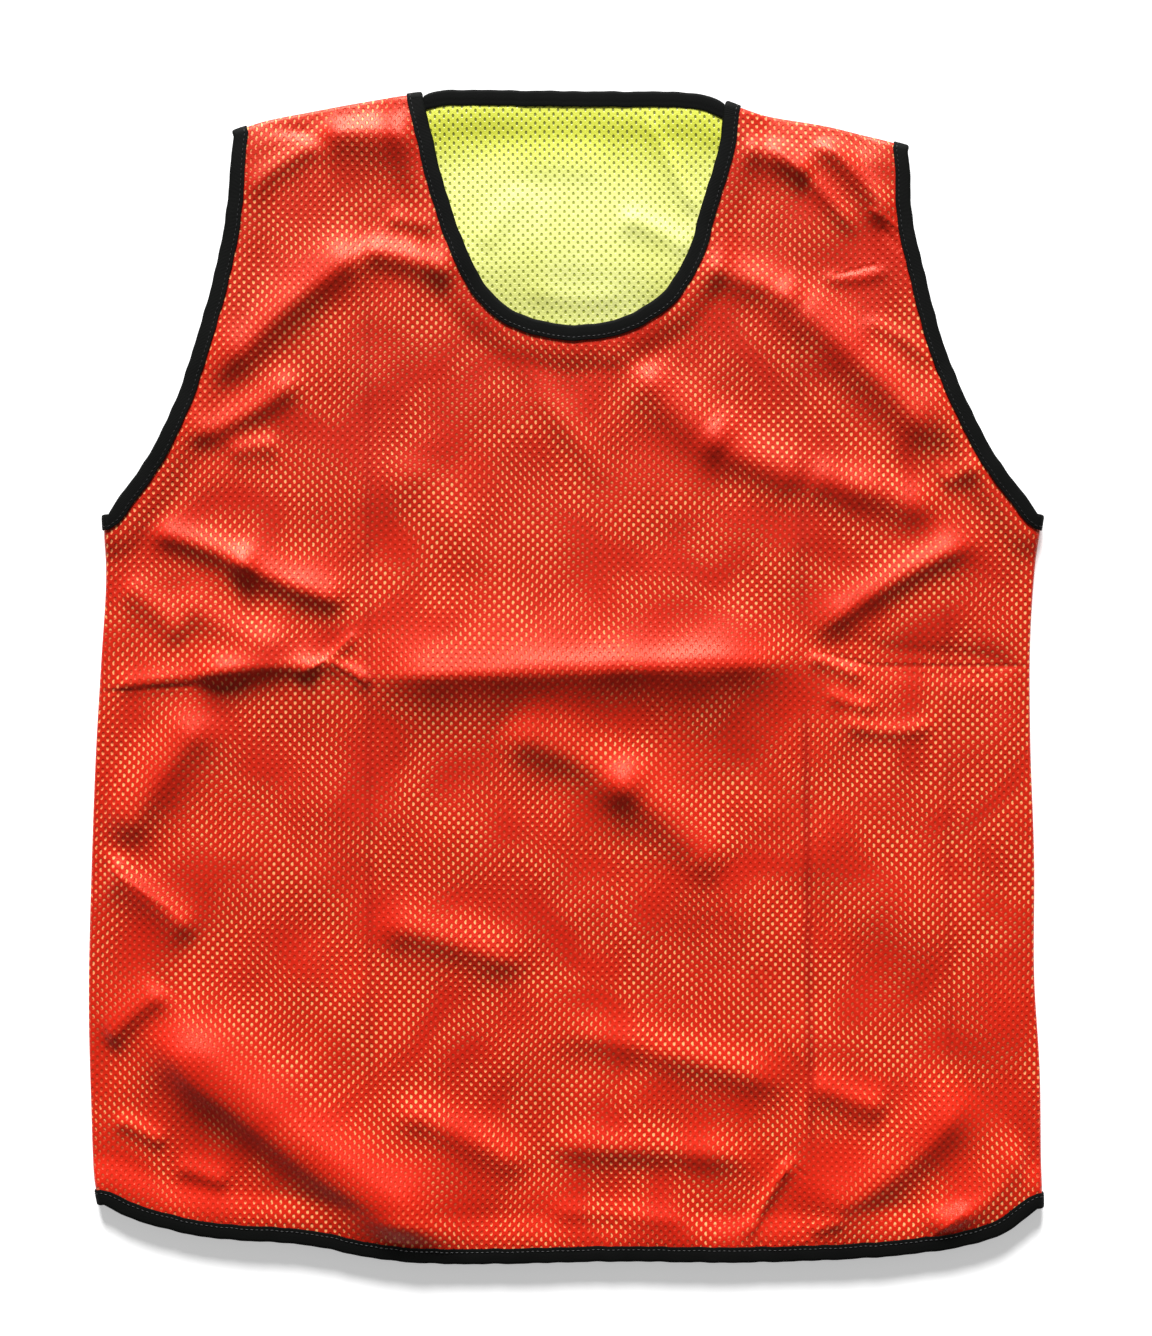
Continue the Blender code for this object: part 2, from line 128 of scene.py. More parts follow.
# %% Outline of the bib
SIDE_LEFT = [(-295.5, -334), (-299, -315), (-301, -270), (-302.5, -205), (-300.5, -116),
             (-298, -50), (-294.5, 10), (-291.5, 60), (-292.5, 101)]
SIDE_RIGHT = [(300.5, -336), (300.2, -300), (299.5, -250), (296, -190), (296, -116),
              (293.5, -40), (293.5, 25), (297, 75), (300.5, 101)]
SHOULDER_LEFT = [(-210.4, 344), (-188, 351.8), (-165, 356.5), (-121, 364.5), (-92.5, 368)]
SHOULDER_RIGHT = [(215.5, 334.5), (189, 342), (166, 347.7), (122, 355.5), (101.8, 362.4)]
ARMHOLE_LEFT = [(-284, 112), (-266.2, 136.7), (-247.2, 174.7), (-234.5, 212.7),
                (-223.8, 250.7), (-215.5, 292), (-212.5, 325)]
ARMHOLE_RIGHT = [(291.5, 112.5), (273.1, 136.7), (252.9, 174.7), (237.7, 212.7),
                 (227.6, 250.7), (218.5, 292), (217.5, 318)]
HEM = [(-276, -343), (-232, -354.5), (-165, -360), (-121, -368.5), (-77, -372), (34, -370.5),
       (122, -371), (211, -366.5), (255, -360), (278, -352)]
NECK_FRONT = [(-86, 346), (-80, 320), (-68, 282), (-57, 257), (-47, 242), (-33, 231),
              (-15, 224.5), (7, 222), (29, 225), (46, 232), (62, 244), (77, 269), (86, 300),
              (96, 333)]
NECK_BACK = [(-90.6, 368.3), (-87.6, 370), (-83, 371.2), (-76, 372), (-60, 372.3), (-30, 371.8),
             (30, 371.2), (66, 371), (82, 370), (92, 367.6), (98.4, 364.8), (100.4, 363)]
CUTS = 24


def smooth(value):
    value = np.clip(value, 0.0, 1.0)
    return value * value * (3.0 - 2.0 * value)


def turned_left(directions):
    return np.column_stack([-directions[..., 1], directions[..., 0]]).reshape(directions.shape)


def unit(directions):
    return directions / np.linalg.norm(directions, axis=-1, keepdims=True)


def run_lengths(points):
    steps = np.linalg.norm(np.diff(points, axis=0), axis=1)
    return np.concatenate([[0.0], np.cumsum(steps)])


def curve_through(knots, spacing):
    """Evenly spaced points on a smooth curve through the knots."""
    chain = np.vstack([2 * knots[0] - knots[1], knots, 2 * knots[-1] - knots[-2]])
    t = np.linspace(0.0, 1.0, CUTS + 1)[1:, None]
    dense = [knots[:1]]
    for before, start, end, after in zip(chain, chain[1:], chain[2:], chain[3:]):
        g0, g1, g2 = [math.sqrt(np.linalg.norm(b - a))
                      for a, b in ((before, start), (start, end), (end, after))]
        leave = ((start - before) / g0 - (end - before) / (g0 + g1) + (end - start) / g1) * g1
        arrive = ((end - start) / g1 - (after - start) / (g1 + g2) + (after - end) / g2) * g1
        dense.append(start * (2 * t**3 - 3 * t**2 + 1) + end * (3 * t**2 - 2 * t**3)
                     + leave * (t**3 - 2 * t**2 + t) + arrive * (t**3 - t**2))
    dense = np.vstack(dense)
    lengths = run_lengths(dense)
    even = np.linspace(0.0, lengths[-1], max(2, round(lengths[-1] / spacing)) + 1)
    return np.column_stack([np.interp(even, lengths, dense[:, axis]) for axis in (0, 1)])


print(len(HEM), "points shape the hem and", len(NECK_FRONT), "the front of the neck")

# %% [markdown]
# The layers lie on each other with a little air between. At a bound edge the tape's
# folds lie between and outside them too, so both plies stand further apart there.
# The side and shoulder seams are half rolls, on which the front turns into the back.
# All heights are counted from the middle of a ply, a shell with its lining.

# %% Layer heights
WALL = 1.0 * MM
GAP = 0.3 * MM
TAPE_WIDTH = 10.0 * MM
LINING_AIR = 0.7 * MM
PLY_HALF = WALL + GAP / 2
LEG_INNER = PLY_HALF + GAP
LEG_OUTER = LEG_INNER + WALL
EDGE_COVER = WALL + GAP
ROLL_FREE = PLY_HALF + LINING_AIR / 2
ROLL_BOUND = LEG_OUTER + GAP / 2
MIDDLE_FREE = PLY_HALF + ROLL_FREE
MIDDLE_BOUND = LEG_OUTER + ROLL_BOUND
LEVEL_BAND = 11.0 * MM
SLOPE_BAND = 31.0 * MM
ROLL_STEPS = np.radians([0, 22.5, 45, 67.5, 90])
NET = 3.1 * MM
FRONT, BACK = 1, -1


class Seam:
    """A seam's points, the way into the cloth, and its two corners."""

    def __init__(self, table, cloth_side):
        self.points = curve_through(np.array(table) * MM, NET)
        tangent = unit(np.gradient(self.points, axis=0))
        self.inward = turned_left(tangent) * cloth_side
        reach = round(LEVEL_BAND / NET)
        self.foot = self.corner(0, reach)
        self.head = self.corner(-1, -1 - reach)

    def corner(self, end, further):
        along = unit(self.points[further] - self.points[end])
        across = turned_left(along[None])[0]
        across *= np.sign(across @ self.inward[end])
        return self.points[end], along, across


SEAMS = {
    "side_left": Seam(SIDE_LEFT, -1),
    "side_right": Seam(SIDE_RIGHT, 1),
    "shoulder_left": Seam(SHOULDER_LEFT, -1),
    "shoulder_right": Seam(SHOULDER_RIGHT, 1),
}
print({name: len(seam.points) for name, seam in SEAMS.items()}, "points on the seams")


# %% [markdown]
# A bound edge leaves its seam squarely and then follows the outline. Each of its
# points has a ray, the direction into the cloth along which the tape's folds lie.

# %% Bound edges
SHORT_SETTLE = 6.0 * MM
LONG_SETTLE = 70.0 * MM
PUCKER = 0.12 * MM
PUCKER_LENGTHS = [34 * MM, 21 * MM, 13 * MM]
PUCKER_FADE = 25 * MM


def puckered(lengths, seed):
    """The small in and out that sewing gives an edge, none at its ends."""
    random = np.random.default_rng(seed)
    total = np.zeros_like(lengths)
    for length in PUCKER_LENGTHS:
        total += PUCKER * np.sin(lengths / length * 2 * math.pi + random.uniform(0, 2 * math.pi))
    return total * smooth(lengths / PUCKER_FADE) * smooth((lengths[-1] - lengths) / PUCKER_FADE)


def bound_edge(table, start, end, settle=SHORT_SETTLE):
    """The cloth's cut edge and its rays, from one seam's corner to another's."""
    corner, along, across = start
    far_corner, far_along, far_across = end
    first = corner - along * EDGE_COVER + across * ROLL_BOUND
    last = far_corner - far_along * EDGE_COVER + far_across * ROLL_BOUND
    fold = curve_through(np.vstack([first, np.array(table) * MM, last]), NET)
    lengths = run_lengths(fold)[:, None]
    rays = turned_left(unit(np.gradient(fold, axis=0)))
    rays *= np.sign(turned_left(across[None])[0] @ along)
    rays = along + (rays - along) * smooth(lengths / SHORT_SETTLE)
    rays = far_along + (rays - far_along) * smooth((lengths[-1] - lengths) / settle)
    rays = unit(rays)
    return fold + rays * (EDGE_COVER + puckered(lengths, len(table))), rays


ENDS = {
    "armhole_left": (SEAMS["side_left"].head, SEAMS["shoulder_left"].foot),
    "armhole_right": (SEAMS["side_right"].head, SEAMS["shoulder_right"].foot),
    "hem": (SEAMS["side_left"].foot, SEAMS["side_right"].foot),
    "neck": (SEAMS["shoulder_left"].head, SEAMS["shoulder_right"].head),
}
EDGES = {
    "armhole_left": bound_edge(ARMHOLE_LEFT, *ENDS["armhole_left"], LONG_SETTLE),
    "armhole_right": bound_edge(ARMHOLE_RIGHT, *ENDS["armhole_right"], LONG_SETTLE),
    "hem": bound_edge(HEM, *ENDS["hem"]),
    "neck_front": bound_edge(NECK_FRONT, *ENDS["neck"]),
    "neck_back": bound_edge(NECK_BACK, *ENDS["neck"]),
}
for name, (cut, rays) in EDGES.items():
    print(name, "is", round(run_lengths(cut)[-1], 3), "m long")

# %% [markdown]
# The folds are placed as soft ridges and troughs over the plan. A row gives
# the two ends of a crest in millimetres, how high it stands, how far it spreads
# to its two sides, how far its middle bows, and how round its crown is, from 0 for
# a pressed crease to 1 for a soft swell. A trough has a rise below zero.
# Several small rows together make a crumpled place look natural.

# %% Folds of the front
FOLD_COLUMNS = ("x1", "y1", "x2", "y2", "rise", "up", "down", "bow", "crown")
FRONT_FOLDS = [
    # The crease across the middle, from packing
    (-142, -2, 160, 8, 10.0, 24, 21, 0, 0.1),
    (-40, 6, 150, 12, 1.0, 8, 12, 1, 0.3),
    (-300, -9, -190, 1, 2.6, 9, 4, 2, 0.1),
    (-240, 1, -146, 6, 5.0, 15, 8, 2, 0.2),
    (-176, 0, -130, 30, 2.0, 4, 4, -5, 0.3),
    (-154, 9, -122, -6, 2.6, 4, 6, 2, 0.2),
    (148, 17, 294, 6, -3.2, 8, 7, -3, 0.15),
    (150, 12, 190, -2, 2.2, 5, 5, 2, 0.3),
    # Right of the crease, a ridge that runs up to the side
    (152, 22, 266, 88, 5.0, 12, 9, 5, 0.5),
    (163, -10, 198, -20, 1.6, 4, 5, -2, 0.3),
    (170, -28, 237, -30, 1.8, 5, 6, -6, 0.3),
    # Left chest
    (-268, 92, -192, 64, 4.4, 11, 8, 3, 0.5),
    (-218, 76, -134, 44, 5.0, 12, 9, -2, 0.5),
    (-250, 52, -168, 16, 2.6, 14, 12, -5, 0.8),
    (-285, 60, -240, 20, 2.4, 10, 10, 3, 0.8),
    # Left shoulder and armhole
    (-226, 182, -116, 276, 6.0, 16, 12, 6, 0.6),
    (-134, 270, -66, 252, 4.6, 12, 10, 2, 0.6),
    (-116, 290, -82, 282, 2.0, 9, 5, 1, 0.6),
    (-160, 340, -90, 338, 5.0, 12, 17, 3, 0.6),
    (-206, 300, -150, 338, 2.4, 8, 8, 5, 0.5),
    (-244, 148, -164, 192, 4.2, 12, 9, -5, 0.6),
    (-216, 140, -180, 146, 2.0, 7, 8, 2, 0.7),
    (-196, 350, -160, 345, -1.8, 3, 4, 0, 0.3),
    # Right shoulder and armhole
    (80, 260, 152, 234, 4.4, 14, 12, 2, 0.6),
    (128, 248, 242, 140, 6.0, 18, 16, 3, 0.6),
    (108, 336, 158, 316, 3.4, 9, 10, 0, 0.6),
    (126, 350, 160, 343, 1.6, 4, 4, 0, 0.4),
    (120, 342, 186, 276, 2.6, 6, 6, 4, 0.4),
    (156, 342, 208, 282, 3.8, 8, 8, 4, 0.5),
    (160, 252, 206, 258, 1.6, 3, 4, -3, 0.3),
    (190, 296, 214, 280, 1.4, 3, 4, 0, 0.3),
    (184, 226, 236, 196, 1.6, 6, 6, 3, 0.6),
    # Right chest
    (40, 196, 104, 142, 3.4, 16, 15, -3, 0.8),
    (82, 153, 156, 122, 4.2, 16, 14, -2, 0.8),
    (142, 127, 238, 100, 4.2, 14, 13, 3, 0.8),
    (236, 122, 264, 134, 2.4, 8, 8, 0, 0.6),
    # Middle of the chest, faint slanting ones
    (-44, 214, 18, 130, 0.9, 9, 9, 4, 0.9),
    (-28, 184, 26, 116, 0.8, 8, 8, 4, 0.9),
    (20, 206, 66, 176, 0.8, 9, 9, 2, 0.9),
    (-110, 140, -50, 60, 1.2, 14, 14, 5, 1.0),
    # Below the crease
    (-46, -34, 52, -80, 4.6, 18, 14, 5, 0.8),
    (20, -60, 100, -130, 4.4, 18, 15, 5, 0.9),
    (-124, -156, -18, -186, 4.4, 17, 13, 2, 0.6),
    (-16, -224, 152, -264, 3.4, 14, 12, 4, 0.7),
    (-22, -298, 128, -308, 3.4, 12, 11, 3, 0.7),
    (-114, -274, -20, -316, 3.8, 12, 12, 4, 0.7),
    (-18, -340, 84, -346, 2.2, 8, 7, 2, 0.6),
    # Lower left, a tall ridge that falls to the hem
    (-275, -214, -62, -368, 12.5, 26, 18, -6, 0.6),
    (-294, -236, -250, -198, 4.0, 12, 9, 3, 0.5),
    (-288, -280, -252, -298, 2.4, 6, 6, 1, 0.5),
    (-250, -310, -212, -322, 2.0, 7, 6, 0, 0.6),
    # Left side
    (-284, -112, -222, -22, 4.6, 18, 13, 4, 0.7),
    (-296, -120, -232, -168, 4.6, 9, 14, 3, 0.4),
    (-296, -112, -280, -124, 1.8, 4, 4, 0, 0.3),
    # Lower right
    (148, -347, 258, -258, 6.4, 22, 14, -12, 0.6),
    (226, -357, 294, -294, 4.2, 18, 10, -7, 0.6),
    (150, -258, 206, -276, 3.4, 10, 12, 0, 0.6),
    (110, -360, 146, -302, 3.0, 4, 4, 1, 0.3),
    (152, -352, 176, -344, 1.8, 4, 4, 0, 0.3),
    (232, -352, 256, -336, 1.8, 5, 5, 0, 0.3),
]
FOLD_SCALE = 1.15
BACK_FOLDS = [
    (-150, 4, 150, -6, 1.0, 8, 8, 0, 0.2),
    (-200, 150, -90, 230, 0.9, 12, 10, 4, 0.7),
    (110, 240, 220, 140, 0.9, 12, 10, -4, 0.7),
    (-240, -220, -120, -300, 1.0, 12, 10, 3, 0.7),
    (130, -290, 240, -210, 1.0, 12, 10, -3, 0.7),
    (-60, -60, 80, -130, 0.8, 14, 12, 5, 0.8),
]
LINING_FOLDS = [
    (-110, 268, 112, 262, 2.6, 58, 26, 0, 1.0),
    (-62, 312, 34, 318, 0.9, 16, 12, 10, 1.0),
    (30, 292, 82, 268, 1.6, 7, 9, 3, 0.7),
    (-56, 268, -24, 312, 0.8, 9, 9, 2, 0.9),
    (50, 358, 84, 290, 1.3, 4, 6, 0, 0.4),
    (-30, 246, 40, 240, 0.6, 8, 8, -4, 0.9),
]
FOLD_END = 0.22
SHARP_CROWN, ROUND_CROWN = 1.2, 2.0


def fold_relief(points, folds):
    """Height of all the folds together at each plan point."""
    total = np.zeros(len(points))
    for row in folds:
        fold = dict(zip(FOLD_COLUMNS, row))
        start = np.array([fold["x1"], fold["y1"]]) * MM
        line = np.array([fold["x2"], fold["y2"]]) * MM - start
        share = (points - start) @ line / (line @ line)
        normal = unit(turned_left(line[None]))[0]
        sideways = (points - start) @ normal
        sideways -= fold["bow"] * MM * 4.0 * share * (1.0 - share)
        spread = np.where(sideways > 0, fold["up"], fold["down"]) * MM
        ends = smooth(share / FOLD_END) * smooth((1.0 - share) / FOLD_END)
        power = SHARP_CROWN + (ROUND_CROWN - SHARP_CROWN) * fold["crown"]
        fall = np.exp(-np.abs(sideways / spread) ** power)
        total += fold["rise"] * MM * ends * fall
    return total * FOLD_SCALE


print(len(FRONT_FOLDS), "folds on the front,", len(LINING_FOLDS), "on the lining in the neck")

# %% [markdown]
# Knitted mesh never lies dead flat. A few slow waves with fixed random directions
# add the small unevenness between the folds, and all of it dies out at the seams.
# Where folds cross, their heights add up, so a soft limit keeps the bib low.

# %% Unevenness and fading
WAVES = [(110, 0.6), (62, 0.3), (38, 0.1), (22, 0.03)]
WAVES_EACH = 5
WAVE_STRETCH, WAVE_BEND = 2.3, 1.3
SEAM_FADE = 16.0 * MM
EDGE_FADE = 24.0 * MM
EDGE_SHARE = 0.35
NECK_STARTS, NECK_SLOPE = 205 * MM, 40 * MM
NECK_SHARE, NECK_LOFT = 0.5, 1.2 * MM
LOFT = 1.5 * MM
SOFT_LIMIT = 12.0 * MM
SPARE = 4.0 * MM
BATCH, TINY = 2000, 1e-12
FRONT_SEED, NECK_SEED = 3, 8


def unevenness(points, seed):
    random = np.random.default_rng(seed)
    total = np.zeros(len(points))
    for length, height in WAVES:
        for _ in range(WAVES_EACH):
            angle, phase = random.uniform(0, 2 * math.pi, 2)
            direction = np.array([math.cos(angle), math.sin(angle)])
            turns = points @ direction / (length * MM) * 2 * math.pi
            slower = length * WAVE_STRETCH * MM
            bend = WAVE_BEND * np.sin(points @ direction[::-1] / slower * 2 * math.pi + angle)
            total += height * MM * np.sin(turns + phase + bend) / math.sqrt(WAVES_EACH)
    return total


def distance_to(points, lines):
    """Shortest distance from each point to any of the lines."""
    starts = np.vstack([line[:-1] for line in lines])
    spans = np.vstack([np.diff(line, axis=0) for line in lines])
    squares = np.maximum((spans**2).sum(axis=1), TINY)
    result = np.empty(len(points))
    for low in range(0, len(points), BATCH):
        offset = points[low:low + BATCH, None] - starts
        share = np.clip((offset * spans).sum(axis=2) / squares, 0.0, 1.0)
        gap = offset - share[..., None] * spans
        result[low:low + BATCH] = np.sqrt((gap**2).sum(axis=2).min(axis=1))
    return result


SEAM_LINES = [seam.points[::3] for seam in SEAMS.values()]
SHARED_EDGES = ("armhole_left", "armhole_right", "hem")
BOUND_LINES = {side: [EDGES[name][0][::2] for name in (*SHARED_EDGES, neck)]
               for side, neck in ((FRONT, "neck_front"), (BACK, "neck_back"))}


def lift_at(points, side):
    gap = distance_to(points, BOUND_LINES[side])
    return 1.0 - smooth((gap - LEVEL_BAND) / (SLOPE_BAND - LEVEL_BAND))


def fades(points, side, edge_fade):
    """Two shares that grow away from the seams and from the bound edges."""
    seam = smooth(distance_to(points, SEAM_LINES) / SEAM_FADE)
    return seam, smooth(distance_to(points, BOUND_LINES[side]) / edge_fade)


def front_relief(points):
    seam, bound = fades(points, FRONT, EDGE_FADE)
    height = LOFT + fold_relief(points, FRONT_FOLDS) + unevenness(points, FRONT_SEED)
    over = np.maximum(height - SOFT_LIMIT, 0.0)
    height = np.minimum(height, SOFT_LIMIT) + SPARE * (1.0 - np.exp(-over / SPARE))
    return np.maximum(height, 0.0) * seam * (EDGE_SHARE + (1.0 - EDGE_SHARE) * bound)


def back_relief(points):
    """The back ply rests on the floor, so its folds only rise from there."""
    seam, bound = fades(points, BACK, SLOPE_BAND)
    return np.maximum(fold_relief(points, BACK_FOLDS), 0.0) * seam * bound


def neck_relief(points):
    """The back lining inside the neck lies looser than the rest."""
    seam, bound = fades(points, BACK, EDGE_FADE)
    inside_neck = smooth((points[:, 1] - NECK_STARTS) / NECK_SLOPE)
    uneven = NECK_SHARE * unevenness(points, NECK_SEED)
    height = fold_relief(points, LINING_FOLDS) + uneven + NECK_LOFT
    return back_relief(points) + np.maximum(height * inside_neck, 0.0) * seam * bound


probe = np.array([[0.0, 5.0], [-170.0, -290.0]]) * MM
print("the main crease and the tall ridge rise", (front_relief(probe) / MM).round(1), "mm")

# %% [markdown]
# Each ply becomes a net of triangles. Its seams are rolled strips, row by row, and
# the flat middle is filled by a Delaunay triangulation of the border and an even
# grid of points. A spot is kept as its foot on the seam, the way inward and the
# angle round the roll, so that every layer can be set off from the same net.

# %% Nets of the plies
RIM_CLEARANCE = 0.6 * NET
MEETING = 1e-7


def inside(points, border):
    starts, ends = border, np.roll(border, -1, axis=0)
    result = np.zeros(len(points), bool)
    for (ax, ay), (bx, by) in zip(starts, ends):
        if ay != by:
            rows = (ay > points[:, 1]) != (by > points[:, 1])
            crossing = ax + (bx - ax) * (points[:, 1] - ay) / (by - ay)
            result ^= rows & (points[:, 0] < crossing)
    return result


def even_grid(spacing, low, high):
    step = spacing * math.sqrt(3) / 2
    rows = np.arange(low[1], high[1], step)
    points = []
    for index, y in enumerate(rows):
        x = np.arange(low[0] + spacing / 2 * (index % 2), high[0], spacing)
        points.append(np.column_stack([x, np.full(len(x), y)]))
    return np.vstack(points)


class Net:
    """The plan of a ply: feet, inward directions, roll angles and triangles."""

    def __init__(self, side, neck, spacing, fine_window=None):
        self.side = side
        rows, strips = self.roll_over_seams()
        middle = self.fill_middle(rows, neck, spacing, fine_window)
        self.triangles = self.facing_up(np.vstack([*strips, middle]))

    def roll_over_seams(self):
        """Strips from each seam to where the cloth lies flat, and their last rows."""
        feet, inward, angles, strips = [], [], [], []
        rows = {}
        count = 0
        for name, seam in SEAMS.items():
            stations = len(seam.points)
            for angle in ROLL_STEPS:
                feet.append(seam.points)
                inward.append(seam.inward)
                angles.append(np.full(stations, angle))
            grid = count + np.arange(len(ROLL_STEPS) * stations).reshape(-1, stations)
            a, b, c, d = grid[:-1, :-1], grid[:-1, 1:], grid[1:, 1:], grid[1:, :-1]
            strips += [np.column_stack([x.ravel() for x in corner])
                       for corner in ((a, b, c), (a, c, d))]
            rows[name] = grid[-1]
            count += grid.size
        self.feet, self.inward = np.vstack(feet), np.vstack(inward)
        self.angles = np.concatenate(angles)
        return rows, strips

    def fill_middle(self, rows, neck, spacing, fine_window):
        """Triangles between the last rows and the cut edges, over an even grid."""
        roll, _ = self.roll_and_middle()
        flat_row = self.feet + self.inward * roll[:, None]
        count = len(self.feet)
        border, indices = [], []
        route = [("side_left", 1), ("armhole_left", 1), ("shoulder_left", 1), (neck, 1),
                 ("shoulder_right", -1), ("armhole_right", -1), ("side_right", -1), ("hem", -1)]
        extra = []
        for name, way in route:
            if name in rows:
                ids = rows[name][::way]
                border.append(flat_row[ids])
                indices.append(ids)
            else:
                points = EDGES[name][0][::way][1:-1]
                border.append(points)
                indices.append(count + np.arange(len(points)))
                extra.append(points)
                count += len(points)
        border = np.vstack(border)
        indices = np.concatenate(indices)
        grid = even_grid(spacing, border.min(axis=0), border.max(axis=0))
        if fine_window:
            fine_spacing, low, high = fine_window
            within = ((grid > low) & (grid < high)).all(axis=1)
            grid = np.vstack([grid[~within], even_grid(fine_spacing, low, high)])
        grid = grid[inside(grid, border)]
        closed = np.vstack([border, border[:1]])
        grid = grid[distance_to(grid, [closed]) > RIM_CLEARANCE]
        indices = np.concatenate([indices, count + np.arange(len(grid))])
        extra.append(grid)

        size = len(border)
        rim = [(i, (i + 1) % size) for i in range(size)]
        flat = [Vector(point) for point in np.vstack([border, grid])]
        points, _, faces, origins, _, _ = delaunay_2d_cdt(flat, rim, [], 0, MEETING, True)
        faces = np.array(faces)
        places = np.array([tuple(point) for point in points])
        centres = places[faces].mean(axis=1)
        first = np.array([origin[0] for origin in origins])

        added = np.vstack(extra)
        self.feet = np.vstack([self.feet, added])
        self.inward = np.vstack([self.inward, np.zeros_like(added)])
        self.angles = np.concatenate([self.angles, np.full(len(added), ROLL_STEPS[-1])])
        return indices[first[faces[inside(centres, border)]]]

    def roll_and_middle(self):
        """The roll's radius and the height of the ply's middle at each foot."""
        lift = lift_at(self.feet, self.side)
        return (ROLL_FREE + (ROLL_BOUND - ROLL_FREE) * lift,
                MIDDLE_FREE + (MIDDLE_BOUND - MIDDLE_FREE) * lift)

    def facing_up(self, triangles):
        plan = self.raised(0.0)[:, :2][triangles]
        one, two = plan[:, 1] - plan[:, 0], plan[:, 2] - plan[:, 0]
        down = one[:, 0] * two[:, 1] - one[:, 1] * two[:, 0] < 0
        triangles[down] = triangles[down][:, ::-1]
        return triangles

    def raised(self, offset, relief=None):
        """Points of the layer that stands an offset away from the middle of the ply."""
        roll, middle = self.roll_and_middle()
        reach = roll + offset
        plan = self.feet + self.inward * (roll - reach * np.cos(self.angles))[:, None]
        up = np.maximum(reach * np.sin(self.angles), GAP / 2)
        z = middle + self.side * up
        if relief:
            z += relief(plan) * (self.angles == ROLL_STEPS[-1])
        return np.column_stack([plan, z])


HIDDEN_NET = 9 * MM
BACK_NET = 8 * MM
NECK_WINDOW = (NET, np.array([-105, 195]) * MM, np.array([112, 372]) * MM)
front_net = Net(FRONT, "neck_front", NET)
print("front net:", len(front_net.feet), "spots,", len(front_net.triangles), "triangles")
front_lining_net = Net(FRONT, "neck_front", HIDDEN_NET)
back_net = Net(BACK, "neck_back", BACK_NET)
back_lining_net = Net(BACK, "neck_back", HIDDEN_NET, NECK_WINDOW)
print("back lining net:", len(back_lining_net.triangles), "triangles")


# %% [markdown]
# A layer of cloth is a closed wall: the net at its outer offset, the same net at its
# inner offset with its faces turned, and a rim that joins their borders. The shell
# lies outside and the lining inside, with air between them.

# %% Cloth layers
CLOTH_SHARP = math.radians(50)


def border_edges(triangles):
    """Edges that only one triangle uses, in that triangle's direction."""
    edges = np.vstack([triangles[:, [0, 1]], triangles[:, [1, 2]], triangles[:, [2, 0]]])
    keys = np.sort(edges, axis=1)
    _, first, uses = np.unique(keys, axis=0, return_index=True, return_counts=True)
    return edges[first[uses == 1]]


def make_object(name, points, faces):
    mesh = bpy.data.meshes.new(name)
    mesh.from_pydata([tuple(p) for p in points], [], [tuple(int(i) for i in f) for f in faces])
    mesh.validate()
    mesh.shade_smooth()
    piece = bpy.data.objects.new(name, mesh)
    scene.collection.objects.link(piece)
    return piece


def make_layer(name, net, inner, outer, relief):
    """One cloth wall between two offsets of a net, with its height kept as an attribute."""
    size = len(net.feet)
    points = np.vstack([net.raised(outer, relief), net.raised(inner, relief)])
    tris = net.triangles
    edges = border_edges(tris)
    a, b = edges[:, 0], edges[:, 1]
    rim = np.vstack([np.column_stack([b, a, a + size]), np.column_stack([b, a + size, b + size])])
    faces = np.vstack([tris, tris[:, ::-1] + size, rim])
    if net.side == BACK:
        faces = faces[:, ::-1]
    piece = make_object(name, points, faces)
    piece.data.set_sharp_from_angle(angle=CLOTH_SHARP)
    height = np.tile(relief(net.feet), 2)
    attribute = piece.data.attributes.new("stand_off", "FLOAT", "POINT")
    attribute.data.foreach_set("value", (height / MM).astype(np.float32))
    print(name, "has", len(faces), "triangles")
    return piece


SHELL_INNER, SHELL_OUTER = GAP / 2 + 0.1 * MM, PLY_HALF
front_shell = make_layer("front_shell_cloth", front_net, SHELL_INNER, SHELL_OUTER, front_relief)
front_lining = make_layer("front_lining_cloth", front_lining_net, -PLY_HALF, -GAP / 2, front_relief)
back_lining = make_layer("back_lining_cloth", back_lining_net, -PLY_HALF, -GAP / 2, neck_relief)
back_shell = make_layer("back_shell_cloth", back_net, GAP / 2, PLY_HALF, back_relief)

# %% [markdown]
# The tape is one strip folded lengthwise over each edge. Its section is a slim U
# with rounded corners, pressed down along the sewing line. It is swept along the
# front edge, over the seam's roll, back along the back edge and over the other roll.

# %% Section of the tape
LEG_REACH = TAPE_WIDTH - EDGE_COVER
SEW_LINE = LEG_REACH - 2.2 * MM
UPPER_LEG = [
    (LEG_REACH, LEG_OUTER - 0.35 * MM), (LEG_REACH - 0.9 * MM, LEG_OUTER - 0.08 * MM),
    (SEW_LINE, LEG_OUTER - 0.22 * MM), (SEW_LINE - 1.4 * MM, LEG_OUTER), (3.2 * MM, LEG_OUTER),
    (0.9 * MM, LEG_OUTER), (-0.3 * MM, LEG_OUTER - 0.12 * MM), (-0.95 * MM, LEG_OUTER - 0.6 * MM),
    (-EDGE_COVER, LEG_OUTER - 1.4 * MM),
]
SECTION = UPPER_LEG + [(along, -offset) for along, offset in UPPER_LEG[::-1]]
SECTION += [(LEG_REACH, -LEG_INNER), (-GAP, -LEG_INNER), (-GAP, LEG_INNER), (LEG_REACH, LEG_INNER)]
SECTION = np.array(SECTION)
RELIEFS = {FRONT: front_relief, BACK: None}
PULL = 0.035 * MM
PULL_SPREAD = 9
PULL_SEED = 20
TAPE_SHARP = math.radians(60)


def level_places(cut, rays, side, section):
    """Points of the section at every station of an edge: stations by section points."""
    plan = cut[:, None] + rays[:, None] * section[None, :, :1]
    z = MIDDLE_BOUND + side * (ROLL_BOUND + section[:, 1]) + np.zeros(plan.shape[:2])
    if RELIEFS[side]:
        flat = plan.reshape(-1, 2)
        z = z + RELIEFS[side](flat).reshape(z.shape)
    return np.dstack([plan, z])


